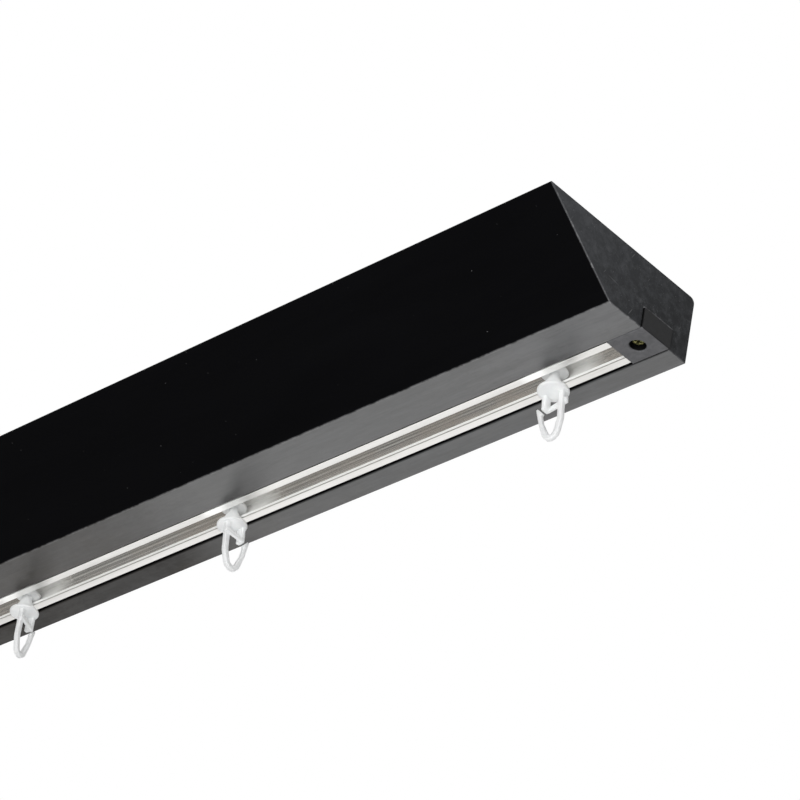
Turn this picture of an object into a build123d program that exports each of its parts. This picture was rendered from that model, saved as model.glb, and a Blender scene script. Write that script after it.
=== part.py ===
import os
from math import hypot, radians, sin

from build123d import *

# Curtain track: a painted cornice beam with an aluminium rail let into its underside,
# and moulded gliders with hooks that run in the rail.
# Frame: millimetres, +X along the track to its right-hand end, +Y from the room to the
# wall, +Z up. The origin is the centre of the top face, which lies against the ceiling.

# Cornice beam
beam_length = 800.0
beam_top_width = 86.3
beam_bottom_width = 45.0
beam_height = 31.5
apex_radius = 0.5
back_top_radius = 2.8
arris_radius = 0.4
end_arris = 0.3
groove_width = 16.2
groove_depth = 9.4
groove_to_back = 10.6
groove_back_radius = 0.9

# Rail
rail_width = 14.5
rail_front_gap = 0.5
rail_end_gap = 0.1
rail_wall = 0.9
rail_web = 1.0
rail_slot_width = 8.1
rail_flange = 1.1
rail_lip_width = 0.8
rail_lip_height = 1.9
lip_line_depth = 0.25
lip_line_height = 0.5
web_mark_depth = 0.3

# End caps
cap_length = 18.6
cap_side_gap = 0.1
cap_end_proud = 0.9
cap_face_proud = 0.4
cap_arris = 0.35
cap_bore_radius = 3.4
cap_bore_rim = 0.4
cap_floor = 5.4
screw_gap = 0.1

# Cap screws
cap_screw_head_radius = 3.1
cap_screw_head_height = 2.3
cap_screw_shank_radius = 1.7
cap_screw_length = 18.0

# Rail screws
rail_screw_head_radius = 2.7
rail_screw_head_height = 1.7
rail_screw_shank_radius = 1.4
rail_screw_length = 14.0
rail_screw_from_end = 65.0
rail_screw_count = 4

# Cross recess of the pan heads
recess_slot = 0.9
recess_share = 0.62

# Ceiling fixing holes, through the rail's web and the beam
ceiling_hole_radius = 2.5
ceiling_hole_from_end = 100.0

# Glider: a head disc in the rail, a neck through its slot, and a lower disc with the hook
head_radius = 5.8
head_thickness = 1.2
head_lift = 0.2
neck_radius = 1.8
neck_foot_radius = 5.2
neck_foot_height = 6.8
disc_radius = 6.5
disc_thickness = 1.4
disc_drop = 5.5
disc_chamfer = 0.3

# Hook: a bar that drops as an arm, bends to a point and rises as a slimmer leg, over an
# elbow, to its free tip, with a barb on the leg's inner side.
# Offsets run sideways from the neck's axis and depths run down from the lower disc's middle.
# The hook stands a little to one side of the neck's axis, as far as hook_side says.
hook_bar = 2.3
hook_depth = 2.0
hook_side = 1.2
hook_chamfer = 0.35
arm_offset = 3.5
arm_drop = 14.5
arm_bend_radius = 9.0
point_offset = 0.2
point_depth = 28.2
point_radius = 2.9
elbow_offset = 5.9
elbow_depth = 13.5
leg_bar = 1.7
leg_foot_share = 0.62
tip_offset = 7.7
tip_depth = 5.4
barb_length = 3.0
barb_height = 0.7

# Tongue that closes the hook's mouth, and the wedge-shaped stay that ties its foot to the arm
tongue_offset = 4.3
tongue_thickness = 2.0
tongue_width = 3.7
tongue_depth = 7.5
tongue_chamfer = 0.45
stay_foot_depth = 7.5
stay_foot_height = 1.8
stay_head_depth = 6.3
stay_head_height = 2.7
stay_thickness = 1.4
stay_ear = 0.9

# Where the gliders stand, as shares of the rail from its right end, which way the free tip
# of each hook points, in degrees from +X towards +Y, and how far in degrees its foot swings
# to the wall and to the right-hand end
glider_stations = (
    (0.0445, 183.0, 2.0, 5.0),
    (0.2822, 88.0, 3.5, 5.0),
    (0.4541, 109.0, 1.5, 2.0),
    (0.5750, 90.0, 2.0, 3.0),
    (0.6880, 97.0, 1.0, 2.0),
    (0.7900, 84.0, 3.0, 3.0),
    (0.8770, 101.0, 2.0, 1.0),
    (0.9570, 92.0, 1.5, 3.0),
)

# Faces and centre lines that the pieces share
half_length = beam_length / 2
back_y = beam_top_width / 2
underside_z = -beam_height
groove_back_y = back_y - groove_to_back
groove_front_y = groove_back_y - groove_width
groove_y = (groove_back_y + groove_front_y) / 2
groove_top_z = underside_z + groove_depth
rail_y = groove_front_y + rail_front_gap + rail_width / 2
cap_inner_x = half_length + cap_end_proud - cap_length
cap_x = cap_inner_x + cap_length / 2
cap_seat_z = groove_top_z - cap_floor
rail_half_length = cap_inner_x - rail_end_gap
rail_web_z = groove_top_z - rail_web
rail_screw_reach = half_length - rail_screw_from_end
rail_screw_pitch = 2 * rail_screw_reach / (rail_screw_count - 1)
rail_screw_places = [
    (rail_screw_pitch * i - rail_screw_reach, rail_y) for i in range(rail_screw_count)
]
ceiling_hole_reach = half_length - ceiling_hole_from_end
ceiling_hole_places = [(-ceiling_hole_reach, rail_y), (ceiling_hole_reach, rail_y)]
cap_screw_places = [(-cap_x, groove_y), (cap_x, groove_y)]
head_under_z = rail_lip_height + head_lift + disc_drop + disc_thickness / 2


def pan_head_screw(head_radius, head_height, shank_radius, length):
    """A screw driven upwards: its head hangs below the origin and its point is above."""
    recess_reach = 2 * head_radius * recess_share
    with BuildPart() as screw:
        with BuildSketch(Plane.XZ):
            with BuildLine():
                Polyline(
                    (0, -head_height),
                    (head_radius * recess_share, -head_height),
                    (head_radius, -head_height / 2),
                    (head_radius, 0),
                    (shank_radius, 0),
                    (shank_radius, length - 2 * shank_radius),
                    (0, length),
                    close=True,
                )
            make_face()
        revolve(axis=Axis.Z)
        with BuildSketch(Plane.XY.offset(-head_height)):
            Rectangle(recess_reach, recess_slot)
            Rectangle(recess_slot, recess_reach)
        extrude(amount=head_height / 2, mode=Mode.SUBTRACT)
    return screw.part


os.makedirs("parts", exist_ok=True)

# Cornice beam: one length of moulding with a groove in its underside, drilled for the screws
with BuildPart() as cornice_beam:
    with BuildSketch(Plane.YZ.offset(-half_length)) as section:
        with BuildLine():
            Polyline(
                (-back_y, 0),
                (back_y, 0),
                (back_y, underside_z),
                (back_y - beam_bottom_width, underside_z),
                close=True,
            )
        make_face()
        fillet(section.vertices().sort_by(Axis.X)[0], apex_radius)
        fillet(section.vertices().group_by(Axis.Y)[-1].sort_by(Axis.X)[-1], back_top_radius)
        fillet(section.vertices().group_by(Axis.Y)[0], arris_radius)
        with Locations((groove_y, underside_z)):
            Rectangle(
                groove_width,
                groove_depth,
                align=(Align.CENTER, Align.MIN),
                mode=Mode.SUBTRACT,
            )
        mouth = section.vertices().group_by(Axis.Y)[0].sort_by(Axis.X)
        fillet(mouth[2], groove_back_radius)
    extrude(amount=beam_length)
    with BuildSketch(Plane.XY) as ceiling_holes:
        with Locations(ceiling_hole_places):
            Circle(ceiling_hole_radius)
    extrude(amount=-beam_height, mode=Mode.SUBTRACT)
    with BuildSketch(Plane.XY.offset(groove_top_z)) as rail_screw_pilots:
        with Locations(rail_screw_places):
            Circle(rail_screw_shank_radius + screw_gap)
    extrude(amount=rail_screw_length, mode=Mode.SUBTRACT)
    with BuildSketch(Plane.XY.offset(groove_top_z)) as cap_screw_pilots:
        with Locations(cap_screw_places):
            Circle(cap_screw_shank_radius + screw_gap)
    extrude(amount=cap_screw_length, mode=Mode.SUBTRACT)
    end_faces = cornice_beam.faces().sort_by(Axis.X)
    chamfer(end_faces[0].edges() + end_faces[-1].edges(), end_arris)
cornice_beam.part.label = "cornice_beam"
export_step(cornice_beam.part, "parts/cornice_beam.step")

# Rail: one aluminium extrusion, open below through its slot, with a lip along each flange
with BuildPart() as track_rail:
    with BuildSketch(Plane.YZ.offset(-rail_half_length)) as section:
        rail_height = groove_depth
        channel_width = rail_width - 2 * rail_wall
        with Locations((rail_y, underside_z)):
            Rectangle(rail_width, rail_height, align=(Align.CENTER, Align.MIN))
            Rectangle(
                rail_slot_width,
                rail_height - rail_web,
                align=(Align.CENTER, Align.MIN),
                mode=Mode.SUBTRACT,
            )
        with Locations((rail_y, underside_z + rail_lip_height)):
            Rectangle(
                channel_width,
                rail_height - rail_web - rail_lip_height,
                align=(Align.CENTER, Align.MIN),
                mode=Mode.SUBTRACT,
            )
        pocket_width = (channel_width - rail_slot_width) / 2 - rail_lip_width
        pocket_offset = (channel_width - pocket_width) / 2
        pocket_z = underside_z + rail_flange
        with Locations((rail_y - pocket_offset, pocket_z), (rail_y + pocket_offset, pocket_z)):
            Rectangle(
                pocket_width,
                rail_lip_height - rail_flange,
                align=(Align.CENTER, Align.MIN),
                mode=Mode.SUBTRACT,
            )
        lip_line_z = underside_z + lip_line_height
        slot_edge = rail_slot_width / 2
        for side in (-1, 1):
            with BuildLine():
                Polyline(
                    (rail_y + side * slot_edge, lip_line_z - lip_line_depth),
                    (rail_y + side * (slot_edge + lip_line_depth), lip_line_z),
                    (rail_y + side * slot_edge, lip_line_z + lip_line_depth),
                    close=True,
                )
            make_face(mode=Mode.SUBTRACT)
        with BuildLine():
            Polyline(
                (rail_y - web_mark_depth, rail_web_z),
                (rail_y, rail_web_z + web_mark_depth),
                (rail_y + web_mark_depth, rail_web_z),
                close=True,
            )
        make_face(mode=Mode.SUBTRACT)
    extrude(amount=2 * rail_half_length)
    with BuildSketch(Plane.XY.offset(rail_web_z)) as web_holes:
        with Locations(rail_screw_places):
            Circle(rail_screw_shank_radius + screw_gap)
        with Locations(ceiling_hole_places):
            Circle(ceiling_hole_radius)
    extrude(amount=rail_web, mode=Mode.SUBTRACT)
track_rail.part.label = "track_rail"
export_step(track_rail.part, "parts/track_rail.step")

# End caps: a moulded block in each end of the groove, bored for a sunk screw head
for name, x in (("end_cap_left", -cap_x), ("end_cap_right", cap_x)):
    with BuildPart() as end_cap:
        with BuildSketch(Plane.XY.offset(underside_z - cap_face_proud)):
            with Locations((x, groove_y)):
                Rectangle(cap_length, groove_width - 2 * cap_side_gap)
        extrude(amount=groove_depth + cap_face_proud)
        chamfer(end_cap.faces().sort_by(Axis.Z)[0].edges(), cap_arris)
        with BuildSketch(Plane.XY.offset(cap_seat_z)):
            with Locations((x, groove_y)):
                Circle(cap_bore_radius)
        extrude(amount=-groove_depth, mode=Mode.SUBTRACT)
        with BuildSketch(Plane.XY.offset(cap_seat_z)):
            with Locations((x, groove_y)):
                Circle(cap_screw_shank_radius + screw_gap)
        extrude(amount=cap_floor, mode=Mode.SUBTRACT)
        bore_mouth = end_cap.faces().sort_by(Axis.Z)[0].edges().filter_by(GeomType.CIRCLE)
        chamfer(bore_mouth, cap_bore_rim)
    end_cap.part.label = name
    export_step(end_cap.part, f"parts/{name}.step")

# Screws: one through each cap, and a row that holds the rail up in its groove
cap_screw = pan_head_screw(
    cap_screw_head_radius, cap_screw_head_height, cap_screw_shank_radius, cap_screw_length
)
with BuildPart() as end_cap_screws:
    with Locations([(x, y, cap_seat_z) for x, y in cap_screw_places]):
        add(cap_screw)
end_cap_screws.part.label = "end_cap_screws"
export_step(end_cap_screws.part, "parts/end_cap_screws.step")

rail_screw = pan_head_screw(
    rail_screw_head_radius, rail_screw_head_height, rail_screw_shank_radius, rail_screw_length
)
with BuildPart() as rail_screws:
    with Locations([(x, y, rail_web_z) for x, y in rail_screw_places]):
        add(rail_screw)
rail_screws.part.label = "rail_screws"
export_step(rail_screws.part, "parts/rail_screws.step")

# Glider, moulded in one: drawn about its own axis, with the hook's tip towards +X and the
# middle of the lower disc at the origin
with BuildPart() as glider_form:
    disc_half = disc_thickness / 2
    with BuildSketch(Plane.XZ.offset(hook_side)) as hook_outline:
        point = Vector(point_offset, -point_depth)
        elbow = Vector(elbow_offset, -elbow_depth)
        tip = Vector(tip_offset, -tip_depth)
        leg_foot = point + (elbow - point) * leg_foot_share
        with BuildLine():
            FilletPolyline(
                (-arm_offset, 0),
                (-arm_offset, -arm_drop),
                point,
                leg_foot,
                radius=(arm_bend_radius, point_radius),
            )
        trace(line_width=hook_bar)
        foot_side = (elbow - point).normalized().rotate(Axis.Z, 90) * (hook_bar / 2)
        leg_along = (tip - elbow).normalized()
        leg_inward = leg_along.rotate(Axis.Z, 90)
        leg_side = leg_inward * (leg_bar / 2)
        barb_foot = tip + leg_side - leg_along * (barb_length + barb_height)
        with BuildLine():
            Polyline(
                leg_foot - foot_side,
                elbow - leg_side,
                tip - leg_side,
                tip,
                tip + leg_side - leg_along * barb_length + leg_inward * barb_height,
                barb_foot,
                elbow + leg_side,
                leg_foot + foot_side,
                close=True,
            )
        make_face()
    extrude(amount=hook_depth / 2, both=True)
    chamfer(glider_form.edges().filter_by(Axis.Y, reverse=True), hook_chamfer)
    with BuildSketch(Plane.XY) as tongue_section:
        with Locations((tongue_offset, -hook_side)):
            Rectangle(tongue_thickness, tongue_width)
        chamfer(tongue_section.vertices(), tongue_chamfer)
    extrude(amount=-tongue_depth)
    stay_side = hook_side + tongue_width / 2 - stay_thickness
    stay_reach = arm_offset + hook_bar / 2 + stay_ear
    with BuildSketch(Plane.XZ.offset(stay_side)) as stay_outline:
        with BuildLine():
            Polyline(
                (tongue_offset, -stay_foot_depth),
                (tongue_offset, stay_foot_height - stay_foot_depth),
                (-stay_reach, stay_head_height - stay_head_depth),
                (-stay_reach, -stay_head_depth),
                close=True,
            )
        make_face()
    extrude(amount=stay_thickness)
    with BuildSketch(Plane.XZ) as turned_outline:
        with BuildLine():
            Polyline(
                (0, -disc_half),
                (disc_radius - disc_chamfer, -disc_half),
                (disc_radius, disc_chamfer - disc_half),
                (disc_radius, disc_half),
                (neck_foot_radius, disc_half),
                (neck_radius, disc_half + neck_foot_height),
                (neck_radius, head_under_z),
                (head_radius, head_under_z),
                (head_radius, head_under_z + head_thickness),
                (0, head_under_z + head_thickness),
                close=True,
            )
        make_face()
    revolve(axis=Axis.Z)
glider_form.part.label = "glider"

# Each glider hangs by its head, which rests on the rail's lips with the low side of its rim
rail_run = 2 * rail_half_length
glider_from_head = glider_form.part.moved(Location((0, 0, -head_under_z)))
for number, (share, turn, swing_back, swing_right) in enumerate(glider_stations, start=1):
    head_x = rail_half_length - share * rail_run
    rim_dip = head_radius * sin(radians(hypot(swing_back, swing_right)))
    head_z = underside_z + rail_lip_height + head_lift + rim_dip
    with BuildPart() as glider:
        with Locations(Location((head_x, rail_y, head_z), (swing_back, -swing_right, turn))):
            add(glider_from_head)
    glider.part.label = f"glider_{number}"
    export_step(glider.part, f"parts/glider_{number}.step")
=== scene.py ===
import logging
import math
from dataclasses import dataclass
from enum import Enum
from functools import reduce
from typing import Callable, Optional, Union

import bmesh
import bpy
from mathutils import Matrix, Vector


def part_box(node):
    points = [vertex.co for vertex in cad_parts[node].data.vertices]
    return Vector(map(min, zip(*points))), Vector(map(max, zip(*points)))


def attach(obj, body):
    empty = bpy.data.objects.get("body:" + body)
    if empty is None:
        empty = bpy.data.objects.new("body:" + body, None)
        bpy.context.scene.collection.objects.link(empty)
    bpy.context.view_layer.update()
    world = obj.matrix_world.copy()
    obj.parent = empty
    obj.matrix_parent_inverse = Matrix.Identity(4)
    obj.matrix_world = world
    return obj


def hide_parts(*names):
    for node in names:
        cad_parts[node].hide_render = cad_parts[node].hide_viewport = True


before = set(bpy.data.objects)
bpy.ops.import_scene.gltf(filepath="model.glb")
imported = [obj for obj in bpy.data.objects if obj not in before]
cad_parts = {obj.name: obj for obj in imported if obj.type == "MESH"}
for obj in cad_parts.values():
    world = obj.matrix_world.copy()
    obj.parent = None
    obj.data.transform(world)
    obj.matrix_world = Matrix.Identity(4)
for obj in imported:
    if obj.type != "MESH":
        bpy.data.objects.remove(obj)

# Ceiling curtain track: a black painted cornice beam with an aluminium rail in its underside
# and milky moulded gliders. +X runs along the track, +Y to the wall, +Z up. Pieces are modelled
# in millimetres and brought to metres when they are placed.

LOG = logging.getLogger("curtain_track")
MM = 0.001
TRACK_BODY = "track"
GLIDER_FORM = "form"
STRAIGHT = 0.99
CLOSE = 0.01
DOUBLED = 0.0001
Colour = tuple[float, float, float]
Point = tuple[float, float, float]
Socket = bpy.types.NodeSocket
Object = bpy.types.Object
Material = bpy.types.Material
WHITE: Colour = (1.0, 1.0, 1.0)


# Sockets and shader trees


class Value:
    """A number socket that takes part in Python arithmetic, one Math node for each step."""

    def __init__(self, shader: "Shader", socket: Socket) -> None:
        """Wraps a socket of a shader's tree."""
        self.shader = shader
        self.socket = socket

    def _math(self, operation: str, *values: "Number") -> "Value":
        """Adds a Math node.

        Args:
            operation: The node's operation.
            *values: Its numbers or wrapped sockets.

        Returns:
            The result.
        """
        inputs = dict(enumerate(values))
        node = self.shader.node("ShaderNodeMath", {"operation": operation}, inputs)
        return Value(self.shader, node.outputs[0])

    def __add__(self, other: "Number") -> "Value":
        """Sum."""
        return self._math("ADD", self, other)

    def __radd__(self, other: float) -> "Value":
        """Sum with a plain number on the left."""
        return self._math("ADD", other, self)

    def __sub__(self, other: "Number") -> "Value":
        """Difference."""
        return self._math("SUBTRACT", self, other)

    def __rsub__(self, other: float) -> "Value":
        """Difference with a plain number on the left."""
        return self._math("SUBTRACT", other, self)

    def __mul__(self, other: "Number") -> "Value":
        """Product."""
        return self._math("MULTIPLY", self, other)

    def __rmul__(self, other: float) -> "Value":
        """Product with a plain number on the left."""
        return self._math("MULTIPLY", other, self)

    def __abs__(self) -> "Value":
        """Size without sign."""
        return self._math("ABSOLUTE", self)

    def most(self, other: "Number") -> "Value":
        """The larger of two values."""
        return self._math("MAXIMUM", self, other)

    def least(self, other: "Number") -> "Value":
        """The smaller of two values."""
        return self._math("MINIMUM", self, other)

    def ramp(self, low: float, high: float) -> "Value":
        """A smooth step between two values.

        Args:
            low: Where the step is 0.
            high: Where the step is 1. It may be the smaller of the two.

        Returns:
            The step, from 0 to 1.
        """
        settings = {"interpolation_type": "SMOOTHSTEP"}
        inputs = {"Value": self, "From Min": low, "From Max": high}
        node = self.shader.node("ShaderNodeMapRange", settings, inputs)
        return Value(self.shader, node.outputs["Result"])


Number = Union[Value, float]
Input = Union[Value, Socket, float, Point]


class Shader:
    """The node tree of one material, or of the world."""

    def __init__(self, owner: Union[Material, bpy.types.World], output: str) -> None:
        """Empties the owner's tree and gives it its output node.

        Args:
            owner: The material or the world.
            output: The type of its output node.
        """
        owner.use_nodes = True
        self.owner = owner
        self.tree = owner.node_tree
        self.tree.nodes.clear()
        self.output = self.tree.nodes.new(output)

    @classmethod
    def named(cls, name: str) -> "Shader":
        """Starts an empty material of this name."""
        return cls(bpy.data.materials.new(name), "ShaderNodeOutputMaterial")

    def connect(self, socket: Socket, value: Input) -> None:
        """Links or sets one input socket.

        Args:
            socket: The input.
            value: A socket or a wrapped value to link, or a constant to set. A constant
                colour has no alpha.
        """
        if isinstance(value, Value):
            value = value.socket
        if isinstance(value, Socket):
            self.tree.links.new(value, socket)
        elif socket.type == "RGBA":
            socket.default_value = (*value, 1.0)
        else:
            socket.default_value = value

    def node(self, kind: str, settings: dict, inputs: dict) -> bpy.types.Node:
        """Adds any node.

        Args:
            kind: The node's type name.
            settings: Properties that are set before its sockets.
            inputs: Values or links, by socket name or number.

        Returns:
            The new node.
        """
        node = self.tree.nodes.new(kind)
        for key, setting in settings.items():
            setattr(node, key, setting)
        for key, value in inputs.items():
            self.connect(node.inputs[key], value)
        return node

    def place(self) -> Socket:
        """The point on the object, in metres in the row frame."""
        return self.node("ShaderNodeTexCoord", {}, {}).outputs["Object"]

    def attribute(self, name: str) -> Socket:
        """The vector that the mesh keeps under a name."""
        settings = {"attribute_type": "GEOMETRY", "attribute_name": name}
        return self.node("ShaderNodeAttribute", settings, {}).outputs["Vector"]

    def split(self, vector: Socket) -> tuple[Value, Value, Value]:
        """The three numbers of a vector."""
        node = self.node("ShaderNodeSeparateXYZ", {}, {0: vector})
        return tuple(Value(self, output) for output in node.outputs)

    def stretched(self, vector: Socket, scale: Point) -> Socket:
        """A vector scaled along its axes, for patterns that run one way."""
        return self.node("ShaderNodeMapping", {}, {"Vector": vector, "Scale": scale}).outputs[0]

    def noise(
        self,
        vector: Socket,
        scale: float,
        detail: float = 3.0,
        roughness: float = 0.5,
        distortion: float = 0.0,
        along: float = 1.0,
    ) -> Value:
        """Soft noise from 0 to 1.

        Args:
            vector: Where it is read.
            scale: Features per metre of the vector.
            detail: Octaves.
            roughness: Share of the finer octaves.
            distortion: How much the noise is swirled.
            along: Scale of the first axis, below 1 for a pattern drawn out along the track.

        Returns:
            The noise value.
        """
        if along != 1.0:
            vector = self.stretched(vector, (along, 1.0, 1.0))
        inputs = {
            "Vector": vector,
            "Scale": scale,
            "Detail": detail,
            "Roughness": roughness,
            "Distortion": distortion,
        }
        return Value(self, self.node("ShaderNodeTexNoise", {}, inputs).outputs[0])

    def specks(self, vector: Socket, scale: float, radius: float, share: float) -> Value:
        """Small round specks, each in its own cell, of which only some cells hold one.

        Args:
            vector: Where they are read.
            scale: Cells per metre.
            radius: Radius of a speck as a share of a cell.
            share: Share of the cells that hold one.

        Returns:
            A mask that is 1 inside a speck.
        """
        inputs = {"Vector": vector, "Scale": scale}
        node = self.node("ShaderNodeTexVoronoi", {"feature": "F1"}, inputs)
        distance = Value(self, node.outputs["Distance"])
        chance = self.split(node.outputs["Color"])
        held = chance[0].ramp(share + 0.004, share)
        size = radius * (0.35 + 0.65 * chance[1])
        return (size - distance).ramp(0.0, radius * 0.35) * held

    def marks(
        self, along: Value, across: Value, length: float, width: float, share: float
    ) -> Value:
        """Straight thin marks that all run one way, each of its own length.

        Args:
            along: The distance along the marks, in metres.
            across: The distance across them, in metres.
            length: The length of the longest mark, in metres.
            width: The width of the widest mark, in metres.
            share: Share of the cells that hold one.

        Returns:
            A mask that is 1 in the middle of a mark.
        """
        reach = 0.25
        cell = {0: along * (2 * reach / length), 1: across * (2 * reach / width)}
        vector = self.node("ShaderNodeCombineXYZ", {}, cell).outputs[0]
        settings = {"voronoi_dimensions": "2D", "feature": "F1"}
        node = self.node("ShaderNodeTexVoronoi", settings, {"Vector": vector, "Scale": 1.0})
        chance = self.split(node.outputs["Color"])
        size = reach * (0.3 + 0.7 * chance[1])
        inside = (size - Value(self, node.outputs["Distance"])).ramp(0.0, reach * 0.5)
        return inside * chance[0].ramp(share + 0.002, share)

    def mix(self, factor: Input, first: Input, second: Input) -> Socket:
        """Two colours mixed by a factor, 0 for the first and 1 for the second."""
        inputs = {0: factor, 6: first, 7: second}
        return self.node("ShaderNodeMix", {"data_type": "RGBA"}, inputs).outputs[2]

    def multiply(self, first: Input, second: Input) -> Socket:
        """The product of two colours."""
        settings = {"data_type": "RGBA", "blend_type": "MULTIPLY"}
        return self.node("ShaderNodeMix", settings, {0: 1.0, 6: first, 7: second}).outputs[2]

    def bump(
        self, height: Value, distance: float, strength: float, after: Optional[Socket] = None
    ) -> Socket:
        """A normal raised by a height.

        Args:
            height: The height, from 0 to 1.
            distance: How high 1 stands, in metres.
            strength: How much of the relief shows.
            after: A normal that this one is laid over.

        Returns:
            The normal socket.
        """
        inputs = {"Height": height, "Distance": distance, "Strength": strength}
        if after is not None:
            inputs["Normal"] = after
        return self.node("ShaderNodeBump", {}, inputs).outputs[0]

    def principled(
        self, colour: Input, roughness: Input, normal: Optional[Socket] = None, **fixed: Input
    ) -> Socket:
        """Adds a Principled BSDF.

        Args:
            colour: The base colour.
            roughness: The roughness.
            normal: The normal, if there is relief.
            **fixed: Other sockets, by name with underscores for spaces.

        Returns:
            Its shader socket.
        """
        inputs = {"Base Color": colour, "Roughness": roughness}
        if normal is not None:
            inputs["Normal"] = normal
        inputs.update({key.replace("_", " "): value for key, value in fixed.items()})
        return self.node("ShaderNodeBsdfPrincipled", {}, inputs).outputs[0]

    def blend(self, factor: Input, first: Socket, second: Socket) -> Socket:
        """Two shaders mixed by a factor, 0 for the first and 1 for the second."""
        node = self.node("ShaderNodeMixShader", {}, {0: factor, 1: first, 2: second})
        return node.outputs[0]

    def end(self, surface: Socket) -> Union[Material, bpy.types.World]:
        """Links the surface and gives the material or the world back."""
        self.connect(self.output.inputs["Surface"], surface)
        return self.owner


def shade(colour: Colour, level: float) -> Colour:
    """A colour made darker or lighter."""
    return tuple(level * part for part in colour)


# Finishes


@dataclass(frozen=True)
class BlackPaint:
    """Satin black paint on the cornice beam, underside and ends greyer as painted light, ends
    scuffed.

    The beam's box gives the places of its arrises, and the right cap's box the seam round it.
    """

    low: Vector
    high: Vector
    cap_low: Vector
    cap_high: Vector
    # Each face of the one black paint has its own level, set for how light falls on it: painted
    # light and shade.
    slope: Colour = (0.0015, 0.0015, 0.0019)
    underside: Colour = (0.031, 0.033, 0.035)
    underside_warm: Colour = (0.036, 0.031, 0.025)
    underside_painted_light: Colour = (0.064, 0.066, 0.071)
    underside_painted_shade: Colour = (0.022, 0.0165, 0.011)
    end: Colour = (0.027, 0.028, 0.030)
    back: Colour = (0.010, 0.010, 0.011)
    dust: Colour = (0.13, 0.13, 0.13)
    chalk: Colour = (0.24, 0.245, 0.25)
    bare_edge_and_highlight: Colour = (0.26, 0.26, 0.265)
    matt_sheen: float = 0.045
    satin_sheen: float = 0.90
    underside_width: float = 0.045
    end_depth: float = 0.00035
    face_depth: float = 0.0002

    def material(self) -> Material:
        """Builds the paint.

        Returns:
            The material.
        """
        s = Shader.named("black_paint")
        place = s.place()
        x, y, z = s.split(place)
        below = (z - self.low.z).ramp(self.face_depth * 1.6, self.face_depth * 0.5)
        at_end = (abs(x) - self.high.x).ramp(-self.end_depth * 1.2, -self.end_depth * 0.4)
        at_back = (y - self.high.y).ramp(-self.face_depth * 4, -self.face_depth)
        top = (z - self.high.z).ramp(-self.face_depth * 4, -self.face_depth)
        slope_only = (1 - below) * (1 - at_end) * (1 - at_back) * (1 - top)

        smudge = s.noise(place, 55.0, 4.0, 0.55, 0.6, along=0.16)
        streak = s.noise(place, 700.0, 4.0, 0.65, along=0.10)
        mottle = s.noise(place, 430.0, 3.0, 0.6, 0.5, along=0.6)
        cloud = s.noise(place, 16.0, 3.0, 0.5)
        brush = s.noise(place, 210.0, 3.0, 0.6, 0.3, along=0.10)
        rub = s.noise(place, 170.0, 7.0, 0.75)
        grain = s.noise(place, 2600.0, 2.0, 0.5)

        texture = 0.25 * streak + 0.25 * brush + 0.30 * mottle
        under = self._underside(s, x, texture + 0.20 * smudge.ramp(0.3, 0.75), cloud)
        # Painted light: the ends get a greyer level of the paint, made lighter towards the front
        # and the top and in rubbing patches.
        fall = 0.5 * y.ramp(self.high.y, self.low.y) + 0.15 * z.ramp(self.low.z, self.high.z)
        paleness = 0.5 * rub.ramp(0.40, 0.68) + fall + 0.06
        end = s.mix(paleness, shade(self.end, 0.50), shade(self.end, 2.3))
        front = s.mix(smudge, shade(self.slope, 0.7), shade(self.slope, 1.5))
        plain = s.mix(rub, shade(self.back, 0.4), shade(self.back, 1.8))
        colour = s.mix(at_back.most(top), front, plain)
        colour = s.mix(below, colour, under)
        colour = s.mix(at_end, colour, end)

        settled = self._dust(s, place) * slope_only
        colour = s.mix(settled, colour, self.dust)
        marks = self._end_marks(s, place, y, z, rub) * at_end
        colour = s.mix(0.75 * marks, colour, self.chalk)
        # Light arris line: partly paint thinned by wear, partly a painted highlight of the
        # rounded edges.
        worn_and_lit_edge = self._edge_wear_and_highlight(x, y, z, s.noise(place, 300.0, 4.0, 0.6))
        colour = s.mix(worn_and_lit_edge, colour, self.bare_edge_and_highlight)

        roughness = 0.34 + 0.14 * smudge - 0.08 * streak + 0.10 * at_end + 0.2 * settled
        relief = 0.35 * streak + 0.2 * grain + 0.2 * brush + 0.25 * mottle
        normal = s.bump(relief, 0.00009, 0.6)
        normal = s.bump((settled + 0.4 * marks).least(1.0), 0.00010, 0.8, normal)
        matt = s.principled(colour, roughness, normal, Specular_IOR_Level=self.matt_sheen)
        satin = s.principled(colour, roughness, normal, Specular_IOR_Level=self.satin_sheen)
        gloss = self._gloss(x, y, cloud) - 0.10 * mottle.ramp(0.38, 0.62) - 0.05 * streak
        return s.end(s.blend(below * gloss, matt, satin))

    def _gloss(self, x: Value, y: Value, cloud: Value) -> Value:
        """How satin the underside is: less behind the rail and to the left, as a painted fall-off
        of its reflection.

        Args:
            x: The place along the track.
            y: The place across it.
            cloud: Broad noise that varies the wear.

        Returns:
            The share of the satin shader.
        """
        behind = (y - self.cap_low.y).ramp(0.005, 0.010)
        dull = x.ramp(0.175, 0.110) * (0.5 + cloud) * (0.34 + 0.20 * behind)
        return 1.06 - (0.16 + 0.08 * x.ramp(0.30, 0.20)) * behind - dull

    def _underside(self, s: Shader, x: Value, level: Value, cloud: Value) -> Socket:
        """The underside's grey, paler to the right and darker to the left as painted light and
        shade, and warmer to the left.

        Args:
            s: The paint's shader.
            x: The place along the track.
            level: The streaks and mottle that lighten and darken it.
            cloud: Broad noise between the plain and the warm tint.

        Returns:
            The colour.
        """
        fade = x.ramp(self.low.x * 0.6, self.high.x * 0.9)
        warmth = (cloud + 0.35 - 0.5 * fade).ramp(0.35, 0.8)
        tint = s.mix(warmth, self.underside, self.underside_warm)
        dark = s.mix(level.ramp(0.34, 0.66), shade(WHITE, 0.20), shade(WHITE, 1.15))
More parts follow.
